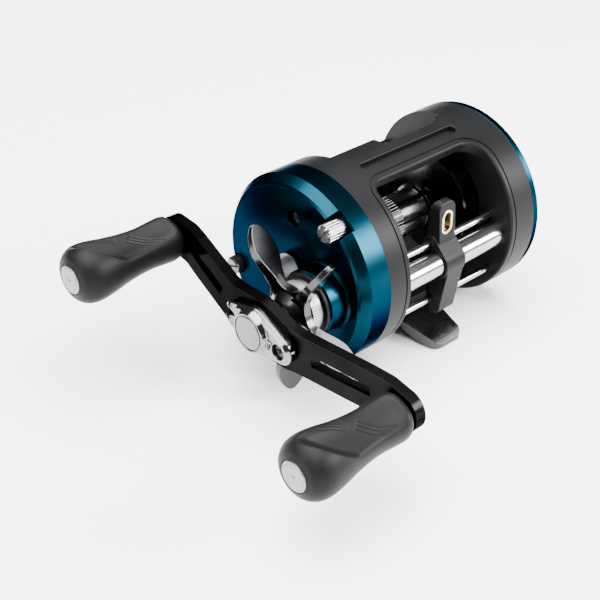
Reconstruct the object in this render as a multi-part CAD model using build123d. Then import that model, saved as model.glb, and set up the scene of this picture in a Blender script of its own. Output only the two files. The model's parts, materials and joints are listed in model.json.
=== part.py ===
from build123d import *
from math import acos, atan2, cos, degrees, hypot, pi, radians, sin, sqrt, tan
import os

# Round baitcasting reel. Millimetres.
# +X runs along the spool from the handle side to the far side, -Y is the front where the line
# leaves, +Z is up. The origin is the middle of the foot, on the plane that its toes rest on.

# ---- driving dimensions ----
BODY_R = 31.0            # outer radius of the side rings and covers
AXIS_Z = 32.0            # height of the ring axis above the reel seat
NEAR_OUT = -32.0         # joint between the frame and the handle side plate
NEAR_IN = -23.0          # window side of the near ring
FAR_IN = 23.0            # window side of the far ring
FAR_OUT = 34.0           # joint between the frame and the far cover
RING_WALL = 2.6          # thickness of the ring skirts
WEB = 3.0                # thickness of the webs that close the rings
BAR_R = 27.4             # inner radius of the bars that join the rings

SPOOL_Y = 0.6            # spool axis, a little behind and above the ring axis
SPOOL_Z = AXIS_Z + 2.2
FLANGE_R = 17.5          # spool flanges
SKIRT_BORE_R = 18.0      # hole in each web for the spool skirt
FLANGE_X = 16.8          # line side of each flange, from the middle
SHAFT_R = 1.5            # spool shaft

GEAR_MODULE = 0.5
GEAR_TEETH = 51
PINION_TEETH = 10
GEAR_CENTRES = GEAR_MODULE * (GEAR_TEETH + PINION_TEETH) / 2
DRIVE_DROP = 3.4         # drive axis below the spool axis
DRIVE_Z = SPOOL_Z - DRIVE_DROP
DRIVE_Y = SPOOL_Y - sqrt(GEAR_CENTRES ** 2 - DRIVE_DROP ** 2)

LW_GEAR_TEETH = 29       # level-wind gear on the drive shaft
LW_WORM_TEETH = 12
LW_CENTRES = GEAR_MODULE * (LW_GEAR_TEETH + LW_WORM_TEETH) / 2
WORM_Z = AXIS_Z - 1.4    # level-wind worm and its guard tube
WORM_Y = DRIVE_Y - sqrt(LW_CENTRES ** 2 - (DRIVE_Z - WORM_Z) ** 2)
WORM_TUBE_R = 4.0
GUIDE_BARS = {"upper": (-21.4, AXIS_Z + 4.2, 1.2), "lower": (-22.7, AXIS_Z - 15.1, 1.1)}
GUIDE_TRAVEL = 14.0      # carriage travel each way from the middle
GUIDE_X = -1.2           # where the carriage stands

PLATE_FACE = -43.0       # outer face of the handle side plate
PLATE_BAND = -39.7       # where its straight band meets the chamfer
PLATE_SKIN = 1.6
BOSS_R = 10.3            # boss round the drive shaft
BOSS_END = -50.0
STAR_ARMS = 5
STAR_REACH = 27.5
STAR_X = -56.6           # middle of the star wheel's arms
ARM_FRONT = -68.6        # outer face of the handle arm at its middle
ARM_THICK = 3.6
ARM_TILT = radians(188)  # direction of the near handle arm, seen along +X
KNOB_REACH = 49.0        # drive shaft to knob axis
KNOB_DROP = 7.4          # how far the arm ends lie nearer the reel than its middle
KNOB_LENGTH = 37.6
KNOB_ANGLE = radians(220.4)  # direction of the knobs' wide side
RUN = 0.05               # radial clearance of running fits
GAP = 0.3                # clearance between parts that pass each other

os.makedirs("parts", exist_ok=True)


# ---- helpers ----
def cylinder_x(radius, x0, x1, y=0.0, z=0.0):
    """Round bar along X from x0 to x1."""
    bar = Cylinder(radius, abs(x1 - x0), rotation=(0, 90, 0))
    return Pos((x0 + x1) / 2, y, z) * bar


def tube_x(outer, inner, x0, x1, y=0.0, z=0.0):
    return cylinder_x(outer, x0, x1, y, z) - cylinder_x(inner, x0 - 1, x1 + 1, y, z)


def block(x0, x1, y0, y1, z0, z1):
    return Pos((x0 + x1) / 2, (y0 + y1) / 2, (z0 + z1) / 2) * Box(x1 - x0, y1 - y0, z1 - z0)


def turned(profile, y=0.0, z=0.0):
    """Solid of revolution about an axis along X. The profile lists (x, radius) corners."""
    outline = Polyline(*[(x, r, 0) for x, r in profile], close=True)
    return Pos(0, y, z) * revolve(make_face(outline), Axis.X)


def sector(outer, inner, x0, x1, start, end):
    """Part of a tube about the ring axis. Angles in degrees, from +Y towards +Z."""
    strip = make_face(Polyline((x0, inner, 0), (x1, inner, 0), (x1, outer, 0), (x0, outer, 0), close=True))
    piece = revolve(strip, Axis.X, revolution_arc=end - start)
    return Pos(0, 0, AXIS_Z) * Rot(start, 0, 0) * piece


def outline_x(face, x0, x1):
    """Extrudes a face drawn in Y and Z (as local x and y) from x0 to x1."""
    return Plane(origin=(x0, 0, 0), x_dir=(0, 1, 0), z_dir=(1, 0, 0)) * extrude(face, x1 - x0)


def hull(*circles):
    """Face round circles given as (y, z, radius)."""
    edges = [Pos(y, z) * Edge.make_circle(r) for y, z, r in circles]
    return make_hull(edges)


def polar(radius, angle_deg, y=0.0, z=0.0):
    return y + radius * cos(radians(angle_deg)), z + radius * sin(radians(angle_deg))


def knurl_cutters(radius, x0, x1, y, z, count, depth):
    """Round-bottomed flutes along a turned grip."""
    cutters = []
    for i in range(count):
        cy, cz = polar(radius, 360 * i / count, y, z)
        cutters.append(cylinder_x(depth, x0, x1, cy, cz))
    return cutters


def gear(teeth, x0, x1, y, z, bore, phase=0.0, thin=0.86):
    """Spur gear with involute flanks; phase turns its first tooth from +Y towards +Z, in degrees."""
    pitch = GEAR_MODULE * teeth / 2
    base = pitch * cos(radians(20))
    root = pitch - 1.2 * GEAR_MODULE
    tip = pitch + 0.85 * GEAR_MODULE
    pitch_involute = tan(radians(20)) - radians(20)

    def half_angle(radius):
        pressure = acos(min(1.0, base / radius))
        return thin * pi / (2 * teeth) + pitch_involute - (tan(pressure) - pressure)

    radii = [root, max(root + 0.05, base), (base + tip) / 2, tip]
    points = []
    for i in range(teeth):
        middle = radians(phase) + 2 * pi * i / teeth
        for radius in radii:
            angle = middle - half_angle(radius)
            points.append((radius * cos(angle), radius * sin(angle)))
        for radius in reversed(radii):
            angle = middle + half_angle(radius)
            points.append((radius * cos(angle), radius * sin(angle)))
    blank = outline_x(make_face(Polyline(*points, close=True)), x0, x1)
    return Pos(0, y, z) * blank - cylinder_x(bore, x0 - 1, x1 + 1, y, z)


def bearing(outer, inner, x0, x1, y, z):
    """Ball bearing drawn as one ring with a grooved face on each side."""
    ring = tube_x(outer, inner, x0, x1, y, z)
    race = (outer + inner) / 2
    width = (outer - inner) * 0.22
    depth = (x1 - x0) * 0.15
    for a, b in ((x0 - 1, x0 + depth), (x1 - depth, x1 + 1)):
        ring -= tube_x(race + width, race - width, a, b, y, z)
    return ring


parts = {}

# ---- frame: two rings, their webs and the bars between them ----
BAR_TOP = (90.0, 114.5)
BAR_REAR = (-46.0, 0.0)
WINDOW_CORNERS = (4.2, 8.0)      # handle side, far side
GROOVE_OFFSET = 2.0


def window_block(inner, start, end, offset=0.0):
    """Cutter from the inner radius outwards, as large as a window grown by the offset."""
    turn = degrees(offset / BODY_R)
    cutter = sector(BODY_R + 2, inner, NEAR_IN - offset, FAR_IN + offset, start - turn, end + turn)
    for side, radius in zip((-1, 1), WINDOW_CORNERS):
        corners = [
            edge for edge in cutter.edges().filter_by(GeomType.LINE)
            if abs(edge.length - (BODY_R + 2 - inner)) < 0.01 and edge.center().X * side > 0
        ]
        cutter = fillet(corners, radius + offset)
    return cutter


def off_axis(edge):
    """Distance of an edge's middle from the ring axis, and its angle about it in degrees."""
    y, z = (edge @ 0.5).Y, (edge @ 0.5).Z - AXIS_Z
    return hypot(y, z), degrees(atan2(z, y))


def make_frame():
    body = Pos(0, 0, AXIS_Z) * tube_x(BODY_R, BAR_R, NEAR_OUT, FAR_OUT)
    windows = [
        (BAR_TOP[1], 360 + BAR_REAR[0]),
        (BAR_REAR[1], BAR_TOP[0]),
    ]
    for start, end in windows:
        body -= window_block(BAR_R - 3, start, end)
    # rounded lips round the windows
    lips = [
        edge for edge in body.edges()
        if abs(edge.center().X) < FAR_IN + 0.1 and off_axis(edge)[0] > BODY_R - 0.1
    ]
    body = fillet(lips, 0.8)
    # thumb rest: the top bar is wider towards the handle side
    body += sector(BODY_R, BAR_R, NEAR_IN - 1, -5.0, 82.0, 91.0)
    # ring skirts are thinner than the bars
    for x0, x1 in ((NEAR_OUT - 1, NEAR_IN - WEB), (FAR_IN + WEB, FAR_OUT + 1)):
        body -= cylinder_x(BODY_R - RING_WALL, x0, x1, 0, AXIS_Z)
    for x0, x1 in ((NEAR_IN - WEB, NEAR_IN), (FAR_IN, FAR_IN + WEB)):
        body += cylinder_x(BAR_R + 0.2, x0, x1, 0, AXIS_Z)
        body -= cylinder_x(SKIRT_BORE_R, x0 - 1, x1 + 1, SPOOL_Y, SPOOL_Z)
        for y, z, radius in GUIDE_BARS.values():
            body -= cylinder_x(radius, x0 - 1, x1 + 1, y, z)
        body -= cylinder_x(WORM_TUBE_R, x0 - 1, x1 + 1, WORM_Y, WORM_Z)
        body -= block(x0 - 1, x1 + 1, *THUMB_SLOT)
    # flared thumb opening beside the far ring
    flare = Pos(FAR_IN, 2.0, AXIS_Z + 24) * Rot(0, 0, -6) * block(-6, 0, 0, 40, -12, 20)
    body -= flare
    # fine groove round the front window, in the outer surface
    start, end = windows[0]
    inner = BODY_R - 0.35
    groove = window_block(inner, start, end, GROOVE_OFFSET + 0.5)
    body -= groove - window_block(inner, start, end, GROOVE_OFFSET)
    # long recess in the top bar
    slot = sector(BODY_R + 1, BODY_R - 1.7, -20.5, 20.5, 98.8, 104.8)
    slot_ends = [
        edge for edge in slot.edges().filter_by(GeomType.LINE) if abs(edge.length - 2.7) < 0.01
    ]
    body -= fillet(slot_ends, 1.4)
    slot_rim = [
        edge for edge in body.edges()
        if abs(edge.center().X) < 21 and off_axis(edge)[0] > BODY_R - 0.1 and 97 < off_axis(edge)[1] < 106
    ]
    body = fillet(slot_rim, 0.4)
    # flat lower crossbar that carries the foot
    body += block(NEAR_IN - 0.5, FAR_IN + 0.5, -10.0, 10.0, FOOT_TOP, FOOT_TOP + 2.6)
    body -= FOOT_HOLES
    for angle in PLATE_SCREW_ANGLES:
        y, z = polar(PLATE_SCREW_R, angle, 0, AXIS_Z)
        body -= cylinder_x(1.0, NEAR_IN - WEB - 1, NEAR_IN - 0.6, y, z)
        body -= cylinder_x(1.0, FAR_IN + 0.6, FAR_IN + WEB + 1, y, z)
    return body


# ---- foot ----
FOOT_TOP = 6.0           # underside of the frame's crossbar
FOOT_THICK = 2.4
FOOT_HALF = 28.0
FOOT_SCREW_Y = 6.0
FOOT_SCREW_X = 5.0
FOOT_SCREW_SPOTS = [(x, y) for x in (-FOOT_SCREW_X, FOOT_SCREW_X) for y in (-FOOT_SCREW_Y, FOOT_SCREW_Y)]
FOOT_HOLES = [Pos(x, y, FOOT_TOP) * Cylinder(1.0, 12) for x, y in FOOT_SCREW_SPOTS]
PLATE_SCREW_ANGLES = (52, 142, 232, 322)
PLATE_SCREW_R = 24.2
THUMB_SLOT = (22.4, 25.6, AXIS_Z + 5.0, AXIS_Z + 12.3)


def make_foot():
    side = Polyline(
        (-FOOT_HALF, 0), (-20.5, 0), (-13.5, FOOT_TOP - FOOT_THICK), (13.5, FOOT_TOP - FOOT_THICK),
        (20.5, 0), (FOOT_HALF, 0), (FOOT_HALF, 1.5), (26.0, 3.0), (17.5, 5.0), (13.0, FOOT_TOP),
        (-13.0, FOOT_TOP), (-17.5, 5.0), (-26.0, 3.0), (-FOOT_HALF, 1.5), close=True,
    )
    plate = Pos(-12, 0, 0) * outline_x(make_face(side), 0, 24)
    plan = Polyline(
        (-6.0, -FOOT_HALF), (6.0, -FOOT_HALF), (8.2, -16), (9.0, -8), (9.0, 8), (8.2, 16),
        (6.0, FOOT_HALF), (-6.0, FOOT_HALF), (-8.2, 16), (-9.0, 8), (-9.0, -8), (-8.2, -16), close=True,
    )
    outline = extrude(make_face(plan), 20)
    toe_corners = outline.edges().filter_by(Axis.Z).group_by(Axis.Y)
    outline = fillet(toe_corners[0] + toe_corners[-1], 3.0)
    foot = plate & (Pos(0, 0, -5) * outline)
    return foot - FOOT_HOLES


def make_foot_screws():
    screws = []
    for x, y in FOOT_SCREW_SPOTS:
        head = Pos(x, y, FOOT_TOP - FOOT_THICK - 0.6) * Cylinder(1.9, 1.2)
        shank = Pos(x, y, FOOT_TOP) * Cylinder(0.95, 5.0)
        socket = Pos(x, y, FOOT_TOP - FOOT_THICK - 1.1) * extrude(RegularPolygon(0.75, 6), 0.9)
        screws.append(head + shank - socket)
    return Compound(children=screws)


# ---- handle side plate ----
THUMB_SCREWS = {"front": (127.7, 26.7), "rear": (343.0, 26.6)}
SCREW_HEAD_R = 2.9
CAST_CAP_R = 4.65
NECK_R = 3.6             # threaded neck under the cast control cap


def make_handle_side_plate():
    shell = turned([
        (NEAR_OUT, 0), (NEAR_OUT, BODY_R), (PLATE_BAND, BODY_R), (PLATE_FACE + 0.5, BODY_R - 2.1),
        (PLATE_FACE, BODY_R - 2.9), (PLATE_FACE, 0),
    ], 0, AXIS_Z)
    hollow = turned([
        (NEAR_OUT + 1, 0), (NEAR_OUT + 1, BODY_R - RING_WALL), (PLATE_BAND, BODY_R - RING_WALL),
        (PLATE_FACE + PLATE_SKIN, BODY_R - 5.0), (PLATE_FACE + PLATE_SKIN, 0),
    ], 0, AXIS_Z)
    plate = shell - hollow
    boss = turned([
        (PLATE_FACE + 1, 0), (PLATE_FACE + 1, BOSS_R + 0.9), (PLATE_FACE, BOSS_R + 0.6),
        (PLATE_FACE - 0.6, BOSS_R), (BOSS_END + 0.5, BOSS_R), (BOSS_END, BOSS_R - 0.5), (BOSS_END, 0),
    ], DRIVE_Y, DRIVE_Z)
    plate += boss
    # round seat under the cast control cap
    plate += cylinder_x(NECK_R, PLATE_FACE - 4.4, PLATE_FACE + PLATE_SKIN + 1.5, SPOOL_Y, SPOOL_Z)
    plate -= cylinder_x(ONE_WAY_R, BOSS_END + 1.6, PLATE_FACE + 4, DRIVE_Y, DRIVE_Z)
    plate -= cylinder_x(4.0 + GAP, BOSS_END - 1, BOSS_END + 3, DRIVE_Y, DRIVE_Z)
    plate -= cylinder_x(3.0, PLATE_FACE - 5, PLATE_FACE - 1.8, SPOOL_Y, SPOOL_Z)
    plate -= cylinder_x(2.0, PLATE_FACE - 5, PLATE_FACE + 6, SPOOL_Y, SPOOL_Z)
    for name, (angle, radius) in THUMB_SCREWS.items():
        y, z = polar(radius, angle, 0, AXIS_Z)
        pad = Pos(0, y, z) * Rot(angle, 0, 0) * block(NEAR_OUT - 6.6, NEAR_OUT, -3.9, 2.9, -4.2, 4.2)
        plate += pad
        if name == "front":
            notch = block(PLATE_FACE - 1, NEAR_OUT - 6.6, -3.5, 9, -3.7, 3.7)
            plate -= Pos(0, y, z) * Rot(angle, 0, 0) * notch
        else:
            plate -= cylinder_x(SCREW_HEAD_R + 0.5, PLATE_FACE - 1, NEAR_OUT - 6.6, y, z)
        plate -= cylinder_x(1.3 + GAP, PLATE_FACE, NEAR_OUT + 1, y, z)
    y, z = FACE_SCREW_SPOT
    plate += cylinder_x(3.6, PLATE_FACE + PLATE_SKIN, PLATE_FACE + 4, y, z)
    plate -= cylinder_x(2.7, PLATE_FACE - 1, PLATE_FACE + 2.6, y, z)
    plate -= cylinder_x(0.9, PLATE_FACE - 1, PLATE_FACE + 5, y, z)
    return plate


ONE_WAY_R = 8.0
FACE_SCREW_SPOT = (-0.4, AXIS_Z + 18.8)


def make_face_screw():
    y, z = FACE_SCREW_SPOT
    screw = cylinder_x(1.7, PLATE_FACE + 1.4, PLATE_FACE + 2.6, y, z)
    screw += cylinder_x(0.9, PLATE_FACE + 2.6, PLATE_FACE + 6.5, y, z)
    return screw - block(PLATE_FACE, PLATE_FACE + 1.9, y - 2, y + 2, z - 0.25, z + 0.25)


# ---- gear side inner plate: carries the gears, sits inside the near ring ----
INNER_PLATE_X = (-28.6, -26.0)


def make_inner_plate():
    x0, x1 = INNER_PLATE_X
    plate = cylinder_x(BODY_R - RING_WALL - 0.15, x0, x1, 0, AXIS_Z)
    plate += cylinder_x(5.4, x0 - 1.0, x1, DRIVE_Y, DRIVE_Z)
    plate -= cylinder_x(4.0, x0 - 2, x0 + 1.6, DRIVE_Y, DRIVE_Z)
    plate -= cylinder_x(2.6, x0 - 2, x1 + 1, DRIVE_Y, DRIVE_Z)
    plate -= cylinder_x(SKIRT_BORE_R, x1 - 1.2, x1 + 1, SPOOL_Y, SPOOL_Z)
    plate -= cylinder_x(4.6, x0 - 1, x1 + 1, SPOOL_Y, SPOOL_Z)
    plate -= cylinder_x(2.0 + RUN, x0 - 1, x1 + 1, WORM_Y, WORM_Z)
    plate -= block(x0 - 1, x1 + 1, *THUMB_SLOT)
    for angle, radius in THUMB_SCREWS.values():
        y, z = polar(radius, angle, 0, AXIS_Z)
        plate -= cylinder_x(1.3 + GAP, x0 - 1, x1 + 1, y, z)
    for angle in PLATE_SCREW_ANGLES:
        y, z = polar(PLATE_SCREW_R, angle, 0, AXIS_Z)
        plate -= cylinder_x(1.0, x0 - 1, x1 + 1, y, z)
    # two pins that guide the clutch yoke
    for y, z in YOKE_PINS:
        plate += cylinder_x(1.2, x0 - 5.8, x0 + 0.5, y, z)
    y, z = RATCHET_DOG
    plate += cylinder_x(0.9, x0 - 2.4, x0 + 0.5, y, z)
    return plate


YOKE_PINS = [(SPOOL_Y, SPOOL_Z + 9.0), (SPOOL_Y, SPOOL_Z - 9.0)]
RATCHET_DOG = (DRIVE_Y + 4.0, DRIVE_Z - 9.5)


def make_plate_screws():
    screws = []
    for angle in PLATE_SCREW_ANGLES:
        y, z = polar(PLATE_SCREW_R, angle, 0, AXIS_Z)
        x0 = INNER_PLATE_X[0]
        screw = cylinder_x(1.8, x0 - 1.2, x0, y, z) + cylinder_x(0.95, x0, x0 + 4.6, y, z)
        screws.append(screw - block(x0 - 2, x0 - 0.7, y - 2, y + 2, z - 0.25, z + 0.25))
    return Compound(children=screws)


# ---- far cover with its brake ring ----
FAR_RIM = 36.7


def make_far_cover():
    cover = turned([
        (FAR_OUT, 0), (FAR_OUT, BODY_R), (FAR_RIM - 0.6, BODY_R), (FAR_RIM + 0.6, BODY_R - 1.2),
        (FAR_RIM + 3.0, BODY_R - 8.0), (FAR_RIM + 4.0, BODY_R - 16.0), (FAR_RIM + 4.2, 0),
    ], 0, AXIS_Z)
    cover -= turned([
        (FAR_OUT - 1, 0), (FAR_OUT - 1, BODY_R - 3.0), (FAR_RIM - 1.2, BODY_R - 3.0),
        (FAR_RIM + 1.4, BODY_R - 8.6), (FAR_RIM + 2.4, BODY_R - 16.0), (FAR_RIM + 2.6, 0),
    ], 0, AXIS_Z)
    # bearing cup on the spool axis
    cover += cylinder_x(6.2, FAR_OUT - 1.5, FAR_RIM + 3.4, SPOOL_Y, SPOOL_Z)
    cover -= cylinder_x(4.5, FAR_OUT - 2.5, FAR_OUT + 2.0, SPOOL_Y, SPOOL_Z)
    cover -= cylinder_x(2.0, FAR_OUT, FAR_OUT + 3.4, SPOOL_Y, SPOOL_Z)
    for angle in COVER_SCREW_ANGLES:
        y, z = polar(COVER_SCREW_R, angle, 0, AXIS_Z)
        cover += cylinder_x(2.3, FAR_OUT - 7.4, FAR_RIM, y, z)
        cover -= cylinder_x(1.0, FAR_OUT - 8.5, FAR_OUT + 1, y, z)
    return cover


COVER_SCREW_ANGLES = (20, 140, 260)
COVER_SCREW_R = 24.6


def make_cover_screws():
    """Screws driven from inside the far ring through its web."""
    screws = []
    for angle in COVER_SCREW_ANGLES:
        y, z = polar(COVER_SCREW_R, angle, 0, AXIS_Z)
        screws.append(cylinder_x(0.95, FAR_IN + WEB + 0.1, FAR_OUT + 0.8, y, z))
    return Compound(children=screws)


# ---- spool ----
ARBOR_R = 7.2


def make_spool():
    out_x = 25.6
    f = FLANGE_X
    flange = 1.6
    spool = turned([
        (-out_x, SHAFT_R), (-out_x, 4.0), (-f - flange, 4.0), (-f - flange, FLANGE_R - 1.4),
        (-out_x + 0.4, FLANGE_R - 1.4), (-out_x + 0.4, FLANGE_R), (-f - 0.4, FLANGE_R), (-f, FLANGE_R - 0.5),
        (-f + 1.6, ARBOR_R + 0.8), (-f + 2.4, ARBOR_R), (10.4, ARBOR_R), (10.8, ARBOR_R + 0.9),
        (11.4, ARBOR_R + 0.9), (12.1, ARBOR_R - 0.4), (12.4, 4.4), (f - 2.2, 4.4), (f - 1.2, 6.4),
        (f, FLANGE_R - 0.5), (f + 0.4, FLANGE_R),
        (out_x - 0.4, FLANGE_R), (out_x - 0.4, FLANGE_R - 1.4), (f + flange, FLANGE_R - 1.4),
        (f + flange, 4.0), (out_x, 4.0), (out_x, SHAFT_R),
    ], SPOOL_Y, SPOOL_Z)
    # straight knurl where the line is tied on
    for cutter in knurl_cutters(ARBOR_R + 0.15, -9.0, -0.4, SPOOL_Y, SPOOL_Z, 44, 0.32):
        spool -= cutter
    return spool


def make_spool_shaft():
    shaft = turned([
        (-48.9, 0), (-48.9, 0.7), (-48.4, 1.25), (-26.2, 1.25), (-26.2, SHAFT_R), (36.6, SHAFT_R),
        (37.1, 1.0), (37.1, 0),
    ], SPOOL_Y, SPOOL_Z)
    shaft -= Pos(CROSS_PIN_X, SPOOL_Y, SPOOL_Z) * Cylinder(0.5, 5.2)
    return shaft


def make_cross_pin():
    return Pos(CROSS_PIN_X, SPOOL_Y, SPOOL_Z) * Cylinder(0.5, 5.2)


CROSS_PIN_X = -27.0


def make_brake_hub():
    hub = tube_x(5.2, SHAFT_R, 26.2, 27.6, SPOOL_Y, SPOOL_Z)
    for i in range(6):
        arm = Pos(0, SPOOL_Y, SPOOL_Z) * Rot(60 * i, 0, 0) * block(26.2, 27.6, 4.8, 12.4, -0.6, 0.6)
        hub += arm
    return hub


def make_brake_blocks():
    blocks = []
    for i in range(6):
        shoe = block(25.9, 28.4, 9.4, 11.8, -1.6, 1.6) - block(25, 29, 0, 14, -0.66, 0.66)
        shoe += block(27.66, 28.4, 9.4, 11.8, -1.6, 1.6)
        blocks.append(Pos(0, SPOOL_Y, SPOOL_Z) * Rot(60 * i, 0, 0) * shoe)
    return Compound(children=blocks)


def make_brake_ring():
    return tube_x(15.0, 13.6, 28.9, FAR_RIM + 0.6, SPOOL_Y, SPOOL_Z)


# ---- gears on the handle side ----
MAIN_GEAR_X = (-36.2, -33.8)
PINION_X = (-37.6, -28.0)


def make_pinion():
    tooth_x0, tooth_x1 = PINION_X[0], -32.2
    phase_to_gear = degrees(atan2(DRIVE_Z - SPOOL_Z, DRIVE_Y - SPOOL_Y))
    body = gear(PINION_TEETH, tooth_x0, tooth_x1, SPOOL_Y, SPOOL_Z, 1.25 + RUN, phase_to_gear)
    body += tube_x(2.6, 1.25 + RUN, tooth_x1, -31.2, SPOOL_Y, SPOOL_Z)
    body += tube_x(1.9, 1.25 + RUN, -31.2, -29.6, SPOOL_Y, SPOOL_Z)
    body += tube_x(3.2, 1.25 + RUN, -29.6, -26.2, SPOOL_Y, SPOOL_Z)
    body -= block(CROSS_PIN_X - 0.7, -26, SPOOL_Y - 0.62, SPOOL_Y + 0.62, SPOOL_Z - 5, SPOOL_Z + 5)
    return body


def make_main_gear():
    x0, x1 = MAIN_GEAR_X
    toward_pinion = degrees(atan2(SPOOL_Z - DRIVE_Z, SPOOL_Y - DRIVE_Y))
    wheel = gear(GEAR_TEETH, x0, x1, DRIVE_Y, DRIVE_Z, 2.6, toward_pinion + 180 / GEAR_TEETH)
    # recess for the drag stack and lightening holes
    wheel -= tube_x(10.4, 0.5, x0 - 1, x0 + 1.4, DRIVE_Y, DRIVE_Z)
    for i in range(6):
        y, z = polar(7.2, 60 * i, DRIVE_Y, DRIVE_Z)
        wheel -= cylinder_x(1.5, x0 - 1, x1 + 1, y, z)
    return wheel


def make_drag_stack():
    """Fibre and metal washers in turn, then two spring washers."""
    fibre = []
    metal = []
    x = MAIN_GEAR_X[0] + 1.4
    for i in range(3):
        fibre.append(tube_x(10.0, 2.7, x - 0.6, x, DRIVE_Y, DRIVE_Z))
        metal.append(tube_x(9.6, 2.7, x - 1.2, x - 0.6, DRIVE_Y, DRIVE_Z))
        x -= 1.2
    cone = turned([(x, 2.7), (x, 5.6), (x - 0.5, 5.6), (x - 1.0, 2.7)], DRIVE_Y, DRIVE_Z)
    return Compound(children=fibre), Compound(children=metal), cone


def make_drive_shaft():
    shaft = turned([
        (-27.2, 0), (-27.2, 2.0), (-28.7, 2.0), (-28.7, 2.5), (-65.2, 2.5), (-65.2, 2.4),
        (-70.0, 2.4), (-70.6, 1.9), (-70.6, 0),
    ], DRIVE_Y, DRIVE_Z)
    # two flats that drive the key washers and the handle
    for side in (-1, 1):
        cut = block(-72, -58.0, -4, 4, side * 2.1 if side > 0 else -5, 5 if side > 0 else -2.1)
        shaft -= Pos(0, DRIVE_Y, DRIVE_Z) * Rot(188, 0, 0) * cut
    shaft += tube_x(4.4, 2.0, -33.2, -32.7, DRIVE_Y, DRIVE_Z)
    return shaft


def make_ratchet():
    teeth = 12
    wheel = cylinder_x(7.4, -33.7, -33.3, DRIVE_Y, DRIVE_Z)
    wheel -= cylinder_x(2.5, -35, -32, DRIVE_Y, DRIVE_Z)
    for i in range(teeth):
        y, z = polar(7.9, 360 * i / teeth, DRIVE_Y, DRIVE_Z)
        wheel -= cylinder_x(1.2, -35, -32, y, z)
    return wheel


def make_ratchet_dog():
    y, z = RATCHET_DOG
    body = tube_x(1.7, 0.9, -31.0, -29.8, y, z)
    return body


LW_X = (-32.6, -31.2)


def make_level_wind_gears():
    toward_worm = degrees(atan2(WORM_Z - DRIVE_Z, WORM_Y - DRIVE_Y))
    x0, x1 = LW_X
    drive = gear(LW_GEAR_TEETH, x0, x1, DRIVE_Y, DRIVE_Z, 2.5, toward_worm)
    driven = gear(LW_WORM_TEETH, x0, x1, WORM_Y, WORM_Z, 1.6, toward_worm + 180 + 180 / LW_WORM_TEETH)
    return drive, driven


def make_one_way():
    """Roller clutch sleeve pressed in the boss."""
    sleeve = tube_x(ONE_WAY_R, 5.0, BOSS_END + 1.6, PLATE_FACE + 2.0, DRIVE_Y, DRIVE_Z)
    return sleeve


def make_inner_tube():
    """Hardened tube on the drive shaft that turns in the roller clutch."""
    return tube_x(4.0, 2.5 + RUN, BOSS_END + 0.4, -40.6, DRIVE_Y, DRIVE_Z)


def make_boss_seal():
    return tube_x(9.7, 5.0, BOSS_END - 1.0, BOSS_END, DRIVE_Y, DRIVE_Z)


# ---- clutch yoke and thumb bar ----
def make_yoke():
    x0, x1 = -31.0, -29.8
    bar = block(x0, x1, SPOOL_Y - 3.2, SPOOL_Y + 3.2, SPOOL_Z - 11.2, SPOOL_Z + 11.2)
    bar -= cylinder_x(1.9 + GAP / 2, x0 - 1, x1 + 1, SPOOL_Y, SPOOL_Z)
    bar -= block(x0 - 1, x1 + 1, SPOOL_Y, SPOOL_Y + 5, SPOOL_Z - 2.05, SPOOL_Z + 2.05)
    for y, z in YOKE_PINS:
        bar -= cylinder_x(1.2 + RUN, x0 - 1, x1 + 1, y, z)
    return bar


def make_yoke_springs():
    springs = []
    for y, z in YOKE_PINS:
        springs.append(tube_x(1.9, 1.3, -34.2, -31.15, y, z))
    return Compound(children=springs)




def make_thumb_bar():
    y0, y1, z0, z1 = THUMB_SLOT
    pad = block(NEAR_IN + GAP, FAR_IN - GAP, 20.8, 26.0, AXIS_Z + 8.2, AXIS_Z + 12.6)
    pad = fillet(pad.edges().filter_by(Axis.X), 1.4)
    lugs = block(NEAR_IN - WEB + 0.2, FAR_IN + WEB - 0.2, y0 + 0.3, y1 - 0.3, AXIS_Z + 8.6, AXIS_Z + 12.0)
    return pad + lugs


# ---- level wind ----
def make_worm_tube():
    tube = tube_x(WORM_TUBE_R, 3.3, NEAR_IN - WEB, FAR_IN + WEB, WORM_Y, WORM_Z)
    # slot for the pawl, on the side that faces the spool
    slot = block(-GUIDE_TRAVEL - 4, GUIDE_TRAVEL + 4, WORM_Y + 1, WORM_Y + 6, WORM_Z - 1.5, WORM_Z + 1.5)
    return tube - slot


WORM_R = 2.6


def make_worm_shaft():
    shaft = cylinder_x(WORM_R, NEAR_IN + 0.2, FAR_IN - 0.2, WORM_Y, WORM_Z)
    # crossed grooves drawn as rings at the groove pitch
    pitch = 3.2
    count = 9
    for i in range(count):
        x = (i - (count - 1) / 2) * pitch
        shaft -= tube_x(4.0, 1.9, x - 0.55, x + 0.55, WORM_Y, WORM_Z)
    shaft += cylinder_x(2.0, -30.6, NEAR_IN + 0.2, WORM_Y, WORM_Z)
    shaft += cylinder_x(1.6, LW_X[0] - 0.4, -30.6, WORM_Y, WORM_Z)
    shaft += cylinder_x(2.0, FAR_IN - 0.2, FAR_IN + 3.4, WORM_Y, WORM_Z)
    return shaft


def make_worm_bushings():
    near = tube_x(3.3, 2.0 + RUN, NEAR_IN - WEB, NEAR_IN - 0.4, WORM_Y, WORM_Z)
    far = tube_x(3.3, 2.0 + RUN, FAR_IN + 0.4, FAR_IN + WEB, WORM_Y, WORM_Z)
    return Compound(children=[near, far])


GUIDE_WIDTH = 8.6
EYE_WIDTH = 7.2
EYE_Y = -22.4
EYE_Z = AXIS_Z + 11.8
EYE_HEIGHT = 8.2
EYE_OPENING = 4.6


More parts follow.
